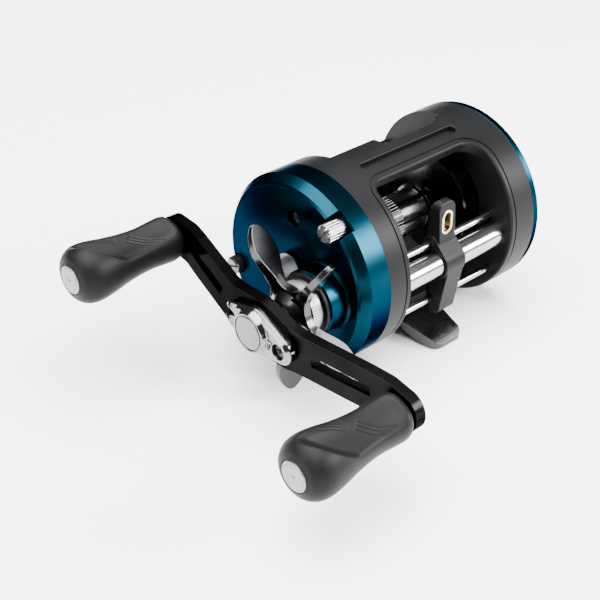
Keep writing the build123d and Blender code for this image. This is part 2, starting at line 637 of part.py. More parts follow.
def make_guide():
    half = GUIDE_WIDTH / 2
    slim = EYE_WIDTH / 2
    uy, uz = GUIDE_BARS["upper"][:2]
    ly, lz = GUIDE_BARS["lower"][:2]
    tip = AXIS_Z + 17.2
    plate = hull((EYE_Y + 0.2, tip, 1.6), (EYE_Y - 0.2, tip, 1.6), (uy - 1.0, uz, 2.7))
    body = outline_x(plate, -slim, slim)
    body += outline_x(hull((uy - 0.6, uz, 2.9), (WORM_Y, WORM_Z, 4.9)), -half, half)
    body += outline_x(hull((WORM_Y, WORM_Z, 4.9), (ly - 1.0, lz - 0.2, 3.1)), -slim, slim)
    body += outline_x(hull((ly - 1.0, lz - 0.2, 3.1), (ly - 1.4, lz - 2.4, 2.4)), -slim, slim)
    for y, z, radius in GUIDE_BARS.values():
        body -= cylinder_x(radius + RUN, -half - 1, half + 1, y, z)
    body -= cylinder_x(WORM_TUBE_R + RUN, -half - 1, half + 1, WORM_Y, WORM_Z)
    # pawl pocket through the spool side
    body -= Pos(0, WORM_Y + 5, WORM_Z) * Cylinder(1.9, 10, rotation=(90, 0, 0))
    # rounded shoulders at the top
    top = tip + 1.6
    shoulders = hull((-slim + 2.8, top - 2.8, 2.8), (slim - 2.8, top - 2.8, 2.8), (0, top - 8, slim))
    shoulders += Pos(0, top - 29) * Rectangle(GUIDE_WIDTH + 2, 42)
    body &= Plane.XZ * extrude(shoulders, 50, both=True)
    # eye
    eye = SlotOverall(EYE_HEIGHT, EYE_OPENING, rotation=90)
    body -= Pos(0, EYE_Y, EYE_Z) * (Plane.XZ * extrude(eye, 10, both=True))
    return Pos(GUIDE_X, 0, 0) * body


def make_eye_insert():
    ring = extrude(SlotOverall(EYE_HEIGHT, EYE_OPENING, rotation=90), 2.2, both=True)
    ring -= extrude(SlotOverall(EYE_HEIGHT - 1.6, EYE_OPENING - 1.6, rotation=90), 5, both=True)
    return Pos(GUIDE_X, EYE_Y, EYE_Z) * (Plane.XZ * ring)


def make_pawl():
    return Pos(GUIDE_X, WORM_Y + 3.9, WORM_Z) * Cylinder(1.35, 2.0, rotation=(90, 0, 0))


def make_pawl_cap():
    return Pos(GUIDE_X, WORM_Y + 5.4, WORM_Z) * Cylinder(1.85, 1.0, rotation=(90, 0, 0))


# ---- cast control cap, thumb screws ----
CAST_CAP_END = PLATE_FACE - 8.0


def make_cast_cap():
    x0 = CAST_CAP_END
    x1 = PLATE_FACE - 0.9
    cap = turned([
        (x1, NECK_R + 0.1), (x1, CAST_CAP_R - 0.3), (x1 - 0.3, CAST_CAP_R), (x0 + 0.6, CAST_CAP_R),
        (x0, CAST_CAP_R - 0.6), (x0, 0), (x0 + 1.5, 0), (x0 + 1.5, 2.4), (x0 + 2.3, 2.4), (x0 + 2.3, NECK_R + 0.1),
    ], SPOOL_Y, SPOOL_Z)
    for cutter in knurl_cutters(CAST_CAP_R + 0.1, x0 - 1, x1 + 1, SPOOL_Y, SPOOL_Z, 36, 0.24):
        cap -= cutter
    return cap


def make_tension_disc():
    x0 = CAST_CAP_END + 1.5
    return cylinder_x(2.3, x0, x0 + 0.5, SPOOL_Y, SPOOL_Z)


def make_thumb_screw(name):
    angle, radius = THUMB_SCREWS[name]
    y, z = polar(radius, angle, 0, AXIS_Z)
    tip = PLATE_FACE - 3.0
    seat = NEAR_OUT - 6.6
    screw = turned([
        (seat, 0), (seat, SCREW_HEAD_R - 0.4), (seat - 0.5, SCREW_HEAD_R), (tip + 0.6, SCREW_HEAD_R),
        (tip, SCREW_HEAD_R - 0.7), (tip, 0),
    ], y, z)
    for cutter in knurl_cutters(SCREW_HEAD_R + 0.1, tip - 1, seat + 1, y, z, 20, 0.32):
        screw -= cutter
    screw += cylinder_x(1.3, seat, INNER_PLATE_X[1] - 0.4, y, z)
    slot = Pos(0, y, z) * Rot(angle, 0, 0) * block(tip - 1, tip + 0.9, -4, 4, -0.4, 0.4)
    return screw - slot


# ---- star drag ----
STAR_HUB_X = (-60.6, -55.4)


STAR_TWIST = 12.0        # each paddle leans this far from the shaft direction


def star_paddle():
    """Leaf along local +Y, wide side nearly along the shaft, tapering in thickness to the tip."""
    half = [(2.8, 4.5), (2.3, 12.0), (4.5, 18.5), (3.3, 24.6)]
    rim = Spline(*[(-x, y) for x, y in half], (0.0, STAR_REACH), *reversed(half))
    blade = extrude(make_face(rim + Line(half[0], (-half[0][0], half[0][1]))), 4, both=True)
    edge = [(4.5, 1.9), (12.0, 1.7), (20.0, 1.15), (STAR_REACH + 1, 0.75)]
    side = Polyline(*[(y, -z) for y, z in edge], *reversed(edge), close=True)
    blade &= outline_x(make_face(side), -6, 6)
    return Rot(0, STAR_TWIST, 0) * blade


def make_star():
    hub = turned([
        (STAR_HUB_X[1], 0), (STAR_HUB_X[1], 7.0), (STAR_X + 1.4, 7.6), (STAR_X - 1.6, 7.2),
        (STAR_HUB_X[0] + 0.6, 5.4), (STAR_HUB_X[0], 4.8), (STAR_HUB_X[0], 0),
    ])
    paddle = Pos(STAR_X, 0, 0) * star_paddle()
    for i in range(STAR_ARMS):
        hub += Rot(54 + 72 * i, 0, 0) * paddle
    # scalloped web that joins the roots of the paddles
    web = cylinder_x(11.6, STAR_X - 1.5, STAR_X + 1.1)
    for i in range(STAR_ARMS):
        y, z = polar(15.4, 90 + 72 * i)
        web -= cylinder_x(7.4, STAR_X - 2, STAR_X + 2, y, z)
    hub += web
    # room for the click ring behind the hub
    hub -= cylinder_x(8.8, STAR_HUB_X[1], STAR_HUB_X[1] + 6)
    hub -= cylinder_x(2.5 + RUN, -80, 0)
    return Pos(0, DRIVE_Y, DRIVE_Z) * hub


def make_click_ring():
    """Polished ring between the boss and the star wheel, with a ribbed edge."""
    ring = tube_x(8.4, 4.4, -55.2, -51.3, DRIVE_Y, DRIVE_Z)
    for cutter in knurl_cutters(8.55, -56, -52.6, DRIVE_Y, DRIVE_Z, 60, 0.28):
        ring -= cutter
    return ring


# ---- handle ----
def arm_frame():
    """Local x runs along the near arm, local y across it, at the drive axis."""
    return Pos(0, DRIVE_Y, DRIVE_Z) * Rot(degrees(ARM_TILT), 0, 0)


def make_handle_arm():
    mid = 12.0
    bend = KNOB_REACH - 6.5
    end = KNOB_REACH + 8.0
    low = ARM_FRONT + KNOB_DROP
    front = [(low, -end), (low, -bend), (ARM_FRONT, -mid), (ARM_FRONT, mid), (low, bend), (low, end)]
    back = [(x + ARM_THICK, s) for x, s in reversed(front)]
    side = make_face(Polyline(*(front + back), close=True))
    bends = [v for v in side.vertices() if abs(v.Y) < end - 1]
    side = fillet(bends, 9.0)
    strip = Pos(0, 0, -12) * extrude(side, 24)
    r = 6.2
    plan = hull((-KNOB_REACH, 0, r), (-36, 0, 6.8), (0, 0, 6.8))
    plan += hull((KNOB_REACH, 0, r), (36, 0, 6.8), (0, 0, 6.8))
    plan += hull((0, 0, 9.0), (15, 0, 6.8), (-15, 0, 6.8))
    for sign in (-1, 1):
        slot = Polyline(
            (sign * 18.5, -2.0), (sign * 38.0, -1.6), (sign * 39.0, 1.6), (sign * 20.0, 2.0), close=True)
        plan -= make_face(slot)
        plan -= Pos(sign * KNOB_REACH, 0) * Circle(2.0)
    blank = outline_x(plan, -75, -50)
    arm = strip & blank
    keyhole = cylinder_x(2.55, -80, 0) - block(-80, 0, -3, 3, 2.12, 4) - block(-80, 0, -3, 3, -4, -2.12)
    arm -= keyhole
    return arm_frame() * arm


def make_nut():
    nut = extrude(RegularPolygon(4.6, 6), 2.9)
    nut = Plane(origin=(ARM_FRONT - 2.9, 0, 0), x_dir=(0, 1, 0), z_dir=(1, 0, 0)) * nut
    nut -= cylinder_x(2.4, -80, 0)
    return arm_frame() * nut


COVER_TOP = -73.3


COVER_THICK = 3.2


def make_nut_cover():
    top = ARM_FRONT - COVER_THICK
    plate = outline_x(hull((0, 0, 7.4), (11.2, 0, 4.4), (-8.8, 0.0, 4.0)), top, ARM_FRONT - 0.02)
    wedge = make_face(Polyline((-15, 3.0), (-8.4, 0), (-15, -3.0), close=True))
    plate -= outline_x(wedge, -75, ARM_FRONT + 1)
    plate = chamfer(plate.edges().group_by(Axis.X)[0], 1.1)
    # lower waist behind the round cap
    plate -= block(-75, top + 0.7, -10.2, -7.6, -6, 6)
    plate += turned([
        (ARM_FRONT - 1, 0), (ARM_FRONT - 1, 7.0), (top, 6.9), (COVER_TOP + 0.7, 6.4), (COVER_TOP + 0.2, 6.2),
        (COVER_TOP, 5.95), (COVER_TOP, 5.6), (COVER_TOP + 0.6, 5.5), (COVER_TOP + 0.6, 5.15),
        (COVER_TOP, 5.05), (COVER_TOP, 0),
    ])
    # small key beside the cap, with two grooves at its end
    plate += block(top - 0.9, top + 0.5, 5.4, 8.2, -1.1, 1.1)
    for y in (7.0, 7.7):
        plate -= block(top - 2, top - 0.4, y, y + 0.3, -1.3, 1.3)
    plate -= cylinder_x(5.0, COVER_TOP + 1.2, ARM_FRONT + 1)
    plate -= Pos(0, 11.2, 0) * cylinder_x(2.5, top - 2, ARM_FRONT - 1.0)
    plate -= Pos(0, 11.2, 0) * cylinder_x(1.1, top - 2, ARM_FRONT + 1)
    return arm_frame() * plate


def make_cover_screw():
    seat = ARM_FRONT - 1.0
    screw = cylinder_x(2.0, seat - 1.1, seat) + cylinder_x(1.05, seat, ARM_FRONT)
    for turn in (0, 90):
        screw -= Rot(turn, 0, 0) * block(seat - 2, seat - 0.5, -1.3, 1.3, -0.3, 0.3)
    return arm_frame() * Pos(0, 11.2, 0) * screw


def knob_x():
    """Where a knob starts and ends along X."""
    start = ARM_FRONT + KNOB_DROP - 1.0
    return start, start - KNOB_LENGTH


def make_knob(sign):
    """Paddle grip: round at the arm, wide and flattened towards its outer end."""
    start, end = knob_x()
    stations = [
        (0.0, 5.8, 5.8), (2.0, 6.7, 6.4), (12.0, 7.0, 5.7), (24.0, 8.2, 6.2),
        (32.0, 9.2, 7.6), (KNOB_LENGTH, 6.2, 5.8),
    ]
    sections = []
    for s, wide, thick in stations:
        place = Plane(origin=(start - s, 0, 0), x_dir=(0, 1, 0), z_dir=(-1, 0, 0))
        sections.append(place * Ellipse(wide, thick))
    grip = loft(sections)
    grip -= cylinder_x(2.0 + RUN, start + 1, end + 4.0)
    grip -= cylinder_x(4.6, end - 1, end + 1.2)
    return knob_place(sign) * Rot(degrees(KNOB_ANGLE), 0, 0) * grip


def knob_place(sign):
    y = DRIVE_Y + sign * KNOB_REACH * cos(ARM_TILT)
    z = DRIVE_Z + sign * KNOB_REACH * sin(ARM_TILT)
    return Pos(0, y, z)


def make_knob_cap(sign):
    start, end = knob_x()
    cap = turned([
        (end + 1.2, 0), (end + 1.2, 4.5), (end + 0.1, 4.5), (end - 0.2, 4.2), (end - 0.2, 0.35), (end + 0.1, 0),
    ])
    return knob_place(sign) * cap


def make_knob_spindle(sign):
    """Spindle riveted through the arm end, with a shoulder under the knob."""
    start, end = knob_x()
    back = ARM_FRONT + KNOB_DROP + ARM_THICK
    spindle = cylinder_x(2.0, back + 0.4, end + 4.4)
    spindle += cylinder_x(3.4, start + 0.15, ARM_FRONT + KNOB_DROP)
    return knob_place(sign) * spindle


# ---- build ----
parts["frame"] = make_frame()
parts["reel_foot"] = make_foot()
parts["foot_screws"] = make_foot_screws()
parts["handle_side_plate"] = make_handle_side_plate()
parts["face_screw"] = make_face_screw()
parts["gear_side_inner_plate"] = make_inner_plate()
parts["inner_plate_screws"] = make_plate_screws()
parts["far_side_cover"] = make_far_cover()
parts["far_cover_screws"] = make_cover_screws()
parts["brake_ring"] = make_brake_ring()
parts["spool"] = make_spool()
parts["spool_shaft"] = make_spool_shaft()
parts["spool_cross_pin"] = make_cross_pin()
parts["brake_hub"] = make_brake_hub()
parts["brake_blocks"] = make_brake_blocks()
parts["spool_bearing_far"] = bearing(4.5, 1.5 + RUN, FAR_OUT - 0.6, FAR_OUT + 2.0, SPOOL_Y, SPOOL_Z)
parts["spool_bearing_near"] = bearing(3.0, 1.25 + RUN, PLATE_FACE - 3.8, PLATE_FACE - 1.8, SPOOL_Y, SPOOL_Z)
parts["pinion"] = make_pinion()
parts["main_gear"] = make_main_gear()
parts["drag_fibre_washers"], parts["drag_metal_washers"], parts["drag_spring_washer"] = make_drag_stack()
parts["drive_shaft"] = make_drive_shaft()
parts["drive_shaft_bearing"] = bearing(4.0, 2.0 + RUN, INNER_PLATE_X[0], INNER_PLATE_X[0] + 1.6, DRIVE_Y, DRIVE_Z)
parts["ratchet_wheel"] = make_ratchet()
parts["ratchet_dog"] = make_ratchet_dog()
parts["level_wind_drive_gear"], parts["worm_gear"] = make_level_wind_gears()
parts["one_way_clutch"] = make_one_way()
parts["clutch_inner_tube"] = make_inner_tube()
parts["boss_seal"] = make_boss_seal()
parts["clutch_yoke"] = make_yoke()
parts["yoke_springs"] = make_yoke_springs()
parts["thumb_bar"] = make_thumb_bar()
parts["worm_guard_tube"] = make_worm_tube()
parts["worm_shaft"] = make_worm_shaft()
parts["worm_bushings"] = make_worm_bushings()
for name, (y, z, radius) in GUIDE_BARS.items():
    parts["guide_bar_" + name] = cylinder_x(radius, NEAR_IN - WEB, FAR_IN + WEB, y, z)
parts["line_guide_carriage"] = make_guide()
parts["line_guide_insert"] = make_eye_insert()
parts["guide_pawl"] = make_pawl()
parts["pawl_cap"] = make_pawl_cap()
parts["cast_control_cap"] = make_cast_cap()
parts["cast_tension_disc"] = make_tension_disc()
for name in THUMB_SCREWS:
    parts["thumb_screw_" + name] = make_thumb_screw(name)
parts["star_wheel"] = make_star()
parts["star_click_ring"] = make_click_ring()
parts["handle_arm"] = make_handle_arm()
parts["handle_nut"] = make_nut()
parts["handle_nut_cover"] = make_nut_cover()
parts["nut_cover_screw"] = make_cover_screw()
for name, sign in (("front", 1), ("rear", -1)):
    parts["knob_" + name] = make_knob(sign)
    parts["knob_cap_" + name] = make_knob_cap(sign)
    parts["knob_spindle_" + name] = make_knob_spindle(sign)

for name, shape in parts.items():
    export_step(shape, "parts/" + name + ".step")
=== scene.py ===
import json
import math

import bmesh
import bpy
from mathutils import Matrix, Vector


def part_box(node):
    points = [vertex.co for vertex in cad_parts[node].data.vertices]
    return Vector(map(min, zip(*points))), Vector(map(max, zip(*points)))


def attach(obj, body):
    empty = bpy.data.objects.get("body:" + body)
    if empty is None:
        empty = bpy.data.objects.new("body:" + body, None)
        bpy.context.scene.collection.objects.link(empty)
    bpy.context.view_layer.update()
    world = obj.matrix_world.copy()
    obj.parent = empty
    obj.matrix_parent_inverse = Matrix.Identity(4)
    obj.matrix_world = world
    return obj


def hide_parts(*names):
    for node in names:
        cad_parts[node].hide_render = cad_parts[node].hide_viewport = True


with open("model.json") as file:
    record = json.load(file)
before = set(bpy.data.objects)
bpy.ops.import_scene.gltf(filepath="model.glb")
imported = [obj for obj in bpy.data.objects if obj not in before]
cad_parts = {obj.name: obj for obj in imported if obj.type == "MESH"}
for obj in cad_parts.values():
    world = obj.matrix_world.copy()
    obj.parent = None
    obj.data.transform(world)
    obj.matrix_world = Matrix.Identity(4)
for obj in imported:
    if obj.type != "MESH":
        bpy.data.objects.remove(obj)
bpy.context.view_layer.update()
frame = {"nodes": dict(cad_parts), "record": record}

NODES = frame["nodes"]
MM = 0.001

# ---- where things are, in millimetres (the CAD's own frame) ----
RING_Z = 32.0
SPOOL = (0.6, 34.2)
DRIVE = (-14.266, 30.8)
ARM_TILT = math.radians(188)
KNOB_REACH = 49.0
BOSS_R = 10.8


# ---------------------------------------------------------------- materials
class Nodes:
    """Short way to build a material's node tree."""

    def __init__(self, name):
        self.mat = bpy.data.materials.new(name)
        self.mat.use_nodes = True
        self.tree = self.mat.node_tree
        self.shader = self.tree.nodes["Principled BSDF"]
        self.coords = self.tree.nodes.new("ShaderNodeTexCoord")

    def add(self, kind, **values):
        node = self.tree.nodes.new(kind)
        for key, value in values.items():
            if key in node.inputs:
                node.inputs[key].default_value = value
            else:
                setattr(node, key, value)
        return node

    def link(self, source, target):
        self.tree.links.new(source, target)

    def position(self, scale=(1, 1, 1)):
        mapping = self.add("ShaderNodeMapping")
        mapping.inputs["Scale"].default_value = scale
        self.link(self.coords.outputs["Object"], mapping.inputs["Vector"])
        return mapping.outputs["Vector"]

    def noise(self, scale, detail=4.0, roughness=0.55, stretch=(1, 1, 1)):
        node = self.add("ShaderNodeTexNoise", Scale=scale, Detail=detail, Roughness=roughness)
        self.link(self.position(stretch), node.inputs["Vector"])
        return node.outputs["Fac"]

    def ramp(self, source, stops):
        node = self.add("ShaderNodeValToRGB")
        elements = node.color_ramp.elements
        while len(elements) < len(stops):
            elements.new(0.5)
        for element, (place, colour) in zip(elements, stops):
            element.position = place
            element.color = (*colour, 1.0)
        self.link(source, node.inputs["Fac"])
        return node.outputs["Color"]

    def span(self, source, low, high):
        node = self.add("ShaderNodeMapRange")
        node.inputs["To Min"].default_value = low
        node.inputs["To Max"].default_value = high
        self.link(source, node.inputs["Value"])
        return node.outputs["Result"]

    def math(self, operation, a, b=None):
        node = self.add("ShaderNodeMath", operation=operation)
        for socket, value in zip(node.inputs, (a, b)):
            if value is None:
                continue
            if isinstance(value, (int, float)):
                socket.default_value = value
            else:
                self.link(value, socket)
        return node.outputs["Value"]

    def bump(self, *layers):
        """Stacks (height, distance in metres, strength) layers."""
        last = None
        for height, distance, strength in layers:
            node = self.add("ShaderNodeBump", Strength=strength, Distance=distance)
            self.link(height, node.inputs["Height"])
            if last is not None:
                self.link(last, node.inputs["Normal"])
            last = node.outputs["Normal"]
        self.link(last, self.shader.inputs["Normal"])

    def radius(self, centre):
        """Distance from an axis along X through centre (y, z in mm), and the angle round it."""
        split = self.add("ShaderNodeSeparateXYZ")
        self.link(self.coords.outputs["Object"], split.inputs["Vector"])
        y = self.math("SUBTRACT", split.outputs["Y"], centre[0] * MM)
        z = self.math("SUBTRACT", split.outputs["Z"], centre[1] * MM)
        r = self.math("SQRT", self.math("ADD", self.math("MULTIPLY", y, y), self.math("MULTIPLY", z, z)))
        angle = self.math("ARCTAN2", z, y)
        return r, angle


def set_shader(shader, **values):
    for key, value in values.items():
        shader.inputs[key.replace("_", " ")].default_value = value


def metal(name, dark, light, rough, spread=0.08, grain=900.0, stretch=(1, 1, 1), aniso=0.0, coat=0.0,
          bump=0.000004, scratch=0.25, edge=1.0):
    """Metal with a fine grain, faint handling marks and uneven polish."""
    n = Nodes(name)
    set_shader(n.shader, Metallic=1.0, Anisotropic=aniso, Coat_Weight=coat, Coat_Roughness=0.12,
               Specular_Tint=(edge, edge, edge, 1.0))
    broad = n.noise(70.0, 3.0)
    grain_fac = n.noise(grain, 6.0, 0.6, stretch)
    marks = n.noise(260.0, 8.0, 0.7, (6, 0.6, 0.6))
    tone = n.math("ADD", n.math("MULTIPLY", broad, 0.7), n.math("MULTIPLY", grain_fac, 0.3))
    n.link(n.ramp(tone, [(0.32, dark), (0.68, light)]), n.shader.inputs["Base Color"])
    worn = n.math("ADD", n.math("MULTIPLY", broad, 0.6), n.math("MULTIPLY", marks, 0.4))
    n.link(n.span(worn, rough - spread, rough + spread), n.shader.inputs["Roughness"])
    n.bump((grain_fac, bump, 0.5), (marks, bump * 0.7, scratch))
    return n


def polymer(name, dark, light, rough, grain=1400.0, depth=0.00002, coat=0.0, spread=0.06, specular=0.3):
    """Moulded or powder-coated surface: fine orange-peel grain, slight sheen changes."""
    n = Nodes(name)
    set_shader(n.shader, Metallic=0.0, Specular_IOR_Level=specular, Coat_Weight=coat, Coat_Roughness=0.3)
    broad = n.noise(60.0, 3.0)
    fine = n.noise(grain, 3.0, 0.5)
    speck = n.noise(grain * 3.1, 2.0, 0.5)
    n.link(n.ramp(n.math("ADD", n.math("MULTIPLY", broad, 0.5), n.math("MULTIPLY", speck, 0.5)),
                  [(0.3, dark), (0.7, light)]), n.shader.inputs["Base Color"])
    n.link(n.span(n.math("ADD", n.math("MULTIPLY", broad, 0.7), n.math("MULTIPLY", fine, 0.3)),
                  rough - spread, rough + spread), n.shader.inputs["Roughness"])
    n.bump((fine, depth, 0.55), (speck, depth * 0.4, 0.4))
    return n


def turned_blue():
    """Blue anodised aluminium, faced on a lathe: fine rings round the reel axis, and round the drive boss."""
    n = Nodes("blue_anodised")
    set_shader(n.shader, Metallic=1.0, Anisotropic=0.6, Specular_Tint=(0.12, 0.22, 0.3, 1.0))
    split = n.add("ShaderNodeSeparateXYZ")
    n.link(n.coords.outputs["Object"], split.inputs["Vector"])
    boss_r, _ = n.radius(DRIVE)
    on_boss = n.math("LESS_THAN", boss_r, BOSS_R * MM)
    centre_y = n.math("MULTIPLY", on_boss, DRIVE[0] * MM)
    centre_z = n.math("ADD", n.math("MULTIPLY", on_boss, (DRIVE[1] - RING_Z) * MM), RING_Z * MM)
    y = n.math("SUBTRACT", split.outputs["Y"], centre_y)
    z = n.math("SUBTRACT", split.outputs["Z"], centre_z)
    r = n.math("SQRT", n.math("ADD", n.math("MULTIPLY", y, y), n.math("MULTIPLY", z, z)))
    along = n.math("ADD", r, split.outputs["X"])
    rings = n.add("ShaderNodeTexNoise", noise_dimensions="1D", Scale=11000.0, Detail=4.0, Roughness=0.7)
    n.link(along, rings.inputs["W"])
    broad = n.noise(55.0, 3.0)
    tone = n.math("ADD", n.math("MULTIPLY", broad, 0.6), n.math("MULTIPLY", rings.outputs["Fac"], 0.4))
    colours = [(0.3, (0.002, 0.017, 0.028)), (0.7, (0.0045, 0.027, 0.041))]
    n.link(n.ramp(tone, colours), n.shader.inputs["Base Color"])
    n.link(n.span(rings.outputs["Fac"], 0.2, 0.28), n.shader.inputs["Roughness"])
    round_axis = n.add("ShaderNodeCombineXYZ")
    n.link(n.math("MULTIPLY", z, -1.0), round_axis.inputs["Y"])
    n.link(y, round_axis.inputs["Z"])
    unit = n.add("ShaderNodeVectorMath", operation="NORMALIZE")
    n.link(round_axis.outputs["Vector"], unit.inputs[0])
    n.link(unit.outputs["Vector"], n.shader.inputs["Tangent"])
    n.bump((rings.outputs["Fac"], 0.0000015, 0.3), (broad, 0.00001, 0.1))
    return n


def knob_rubber():
    """Soft-touch grip: dark, finely pebbled, with a low sheen."""
    n = Nodes("knob_rubber")
    set_shader(n.shader, Specular_IOR_Level=0.09)
    cells = n.add("ShaderNodeTexVoronoi", Scale=2600.0)
    n.link(n.position(), cells.inputs["Vector"])
    broad = n.noise(45.0, 4.0)
    fine = n.noise(1800.0, 3.0)
    colours = [(0.3, (0.002, 0.002, 0.0021)), (0.7, (0.005, 0.005, 0.0052))]
    n.link(n.ramp(broad, colours), n.shader.inputs["Base Color"])
    n.link(n.span(n.math("ADD", n.math("MULTIPLY", broad, 0.6), n.math("MULTIPLY", fine, 0.4)), 0.4, 0.54),
           n.shader.inputs["Roughness"])
    n.bump((cells.outputs["Distance"], 0.00003, 0.35), (fine, 0.00002, 0.3))
    return n


def brushed_disc(name, dark, light, rough, centre):
    """Steel spun about an axis along X."""
    n = Nodes(name)
    set_shader(n.shader, Metallic=1.0, Anisotropic=0.6)
    r, angle = n.radius(centre)
    rings = n.add("ShaderNodeTexNoise", noise_dimensions="1D", Scale=14000.0, Detail=4.0, Roughness=0.7)
    n.link(r, rings.inputs["W"])
    broad = n.noise(160.0, 3.0)
    tone = n.math("ADD", n.math("MULTIPLY", broad, 0.5), n.math("MULTIPLY", rings.outputs["Fac"], 0.5))
    n.link(n.ramp(tone, [(0.3, dark), (0.7, light)]), n.shader.inputs["Base Color"])
    n.link(n.span(rings.outputs["Fac"], rough - 0.08, rough + 0.08), n.shader.inputs["Roughness"])
    tangent = n.add("ShaderNodeTangent", direction_type="RADIAL", axis="X")
    n.link(tangent.outputs["Tangent"], n.shader.inputs["Tangent"])
    n.bump((rings.outputs["Fac"], 0.000005, 0.5))
    return n


M = {
    "frame_black": polymer("frame_black", (0.002, 0.0021, 0.0024), (0.0045, 0.0046, 0.005),
                           0.44, 1500.0, 0.000014, specular=0.1),
    "blue_anodised": turned_blue(),
    "steel_polished": metal("steel_polished", (0.3, 0.3, 0.31), (0.4, 0.4, 0.41), 0.18, 0.05, 500.0),
    "steel_satin": metal("steel_satin", (0.17, 0.17, 0.175), (0.25, 0.25, 0.256), 0.3, 0.08, 800.0,
                         (0.2, 2, 2)),
    "steel_dark": metal("steel_dark", (0.045, 0.045, 0.048), (0.08, 0.08, 0.084), 0.22, 0.06, 700.0),
    "aluminium_machined": metal("aluminium_machined", (0.5, 0.5, 0.52), (0.66, 0.66, 0.68), 0.3, 0.08, 900.0),
    "spool_dark": metal("spool_dark", (0.014, 0.0145, 0.016), (0.026, 0.027, 0.029), 0.2, 0.05, 700.0,
                        coat=0.5),
    "handle_dark": metal("handle_dark", (0.004, 0.004, 0.0043), (0.008, 0.008, 0.0085),
                         0.28, 0.03, 900.0, coat=0.03, edge=0.3),
    "knob_rubber": knob_rubber(),
    "nylon_black": polymer("nylon_black", (0.006, 0.006, 0.0065), (0.011, 0.011, 0.0115), 0.5),
    "guide_plastic": polymer("guide_plastic", (0.002, 0.002, 0.0022), (0.0045, 0.0045, 0.0048),
                             0.42, 1700.0, 0.000012, specular=0.1),
    "insert_gold": metal("insert_gold", (0.62, 0.44, 0.24), (0.8, 0.64, 0.42), 0.2, 0.06, 700.0),
    "gear_brass": metal("gear_brass", (0.58, 0.38, 0.15), (0.72, 0.52, 0.24), 0.28, 0.07, 900.0),
    "fibre": polymer("fibre", (0.16, 0.11, 0.07), (0.24, 0.18, 0.12), 0.75, 1200.0, 0.00004),
    "seal_rubber": polymer("seal_rubber", (0.002, 0.002, 0.002), (0.004, 0.004, 0.004), 0.5, specular=0.1),
}


def knob_axis(sign):
    """Where a knob's axis lies (y, z in mm): sign 1 is the front knob, -1 the rear one."""
    reach = sign * KNOB_REACH
    return (DRIVE[0] + reach * math.cos(ARM_TILT), DRIVE[1] + reach * math.sin(ARM_TILT))


CAP_STEEL = ((0.16, 0.16, 0.165), (0.3, 0.3, 0.31), 0.34)

# finishes of single pieces where a slot's own is too general (the foot's and rear screw's are painted shade)
FINISH = {
    "knob_cap_front": brushed_disc("cap_front_spun", *CAP_STEEL, knob_axis(1)),
    "knob_cap_rear": brushed_disc("cap_rear_spun", *CAP_STEEL, knob_axis(-1)),
    "handle_nut_cover": metal("chrome_cast", (0.15, 0.15, 0.154), (0.23, 0.23, 0.236), 0.15, 0.05, 420.0,
                              bump=0.000012, scratch=0.3),
    # the foot is satin steel made about three times darker: painted shade for the shadow under the reel's
    # body
    "reel_foot": metal("foot_steel_painted_shade", (0.05, 0.05, 0.052), (0.085, 0.085, 0.088), 0.27, 0.07, 700.0,
                       (0.2, 2, 2)),
    "cast_control_cap": metal("cap_gunmetal", (0.075, 0.075, 0.078), (0.12, 0.12, 0.124), 0.3, 0.07, 800.0),
    "thumb_screw_front": metal("screw_nickel", (0.28, 0.275, 0.265), (0.4, 0.39, 0.375), 0.24, 0.07, 700.0),
    # the rear thumb screw is the front screw's nickel made darker: painted shade for the shadow it sits in
    "thumb_screw_rear": metal("screw_nickel_painted_shade", (0.13, 0.13, 0.133), (0.2, 0.2, 0.204), 0.28, 0.07, 700.0),
    "star_click_ring": metal("click_nickel", (0.17, 0.17, 0.172), (0.26, 0.26, 0.264), 0.33, 0.08, 700.0),
    "nut_cover_screw": metal("screw_dark", (0.03, 0.03, 0.032), (0.055, 0.055, 0.058), 0.3, 0.07, 700.0),
}


def paint(obj, slot, node):
    obj.data.materials.clear()
    obj.data.materials.append(FINISH.get(node, M[slot]).mat)


SLOT_OF = {s["node"]: s["material_slot"] for s in frame["record"]["subparts"]}
BODY_OF = {node: body for body, members in frame["record"]["behaviour"]["bodies"].items() for node in members}


# ---------------------------------------------------------------- mesh helpers
WELD = 2e-6          # vertices nearer than this, in metres, are one
FLAT_ANGLE = 0.8     # faces that meet at less than this, in degrees, are one flat face
BEVEL_ANGLE = 24.0   # edges sharper than this, in degrees, are rounded


def new_object(name, bm):
    mesh = bpy.data.meshes.new(name)
    bm.to_mesh(mesh)
    bm.free()
    obj = bpy.data.objects.new(name, mesh)
    bpy.context.scene.collection.objects.link(obj)
    return obj


def apply_modifiers(obj):
    bpy.context.view_layer.update()
    graph = bpy.context.evaluated_depsgraph_get()
    mesh = bpy.data.meshes.new_from_object(obj.evaluated_get(graph))
    obj.modifiers.clear()
    obj.data = mesh


def shade(obj, angle):
    """Smooth shading, with edges sharper than angle (degrees) kept crisp."""
    for polygon in obj.data.polygons:
        polygon.use_smooth = True
    bm = bmesh.new()
    bm.from_mesh(obj.data)
    limit = math.radians(angle)
    for edge in bm.edges:
        edge.smooth = len(edge.link_faces) != 2 or edge.calc_face_angle(0.0) < limit
    bm.to_mesh(obj.data)
    bm.free()


def stand_in(obj, node):
    """obj is shown in place of a CAD node and rides on its body."""
    paint(obj, SLOT_OF[node], node)
    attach(obj, BODY_OF[node])
    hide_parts(node)


def settle_normals(obj):
    """Keeps large flat faces flat beside their rounded edges."""
    modifier = obj.modifiers.new("normals", "WEIGHTED_NORMAL")
    modifier.keep_sharp = True
    modifier.weight = 80
    apply_modifiers(obj)


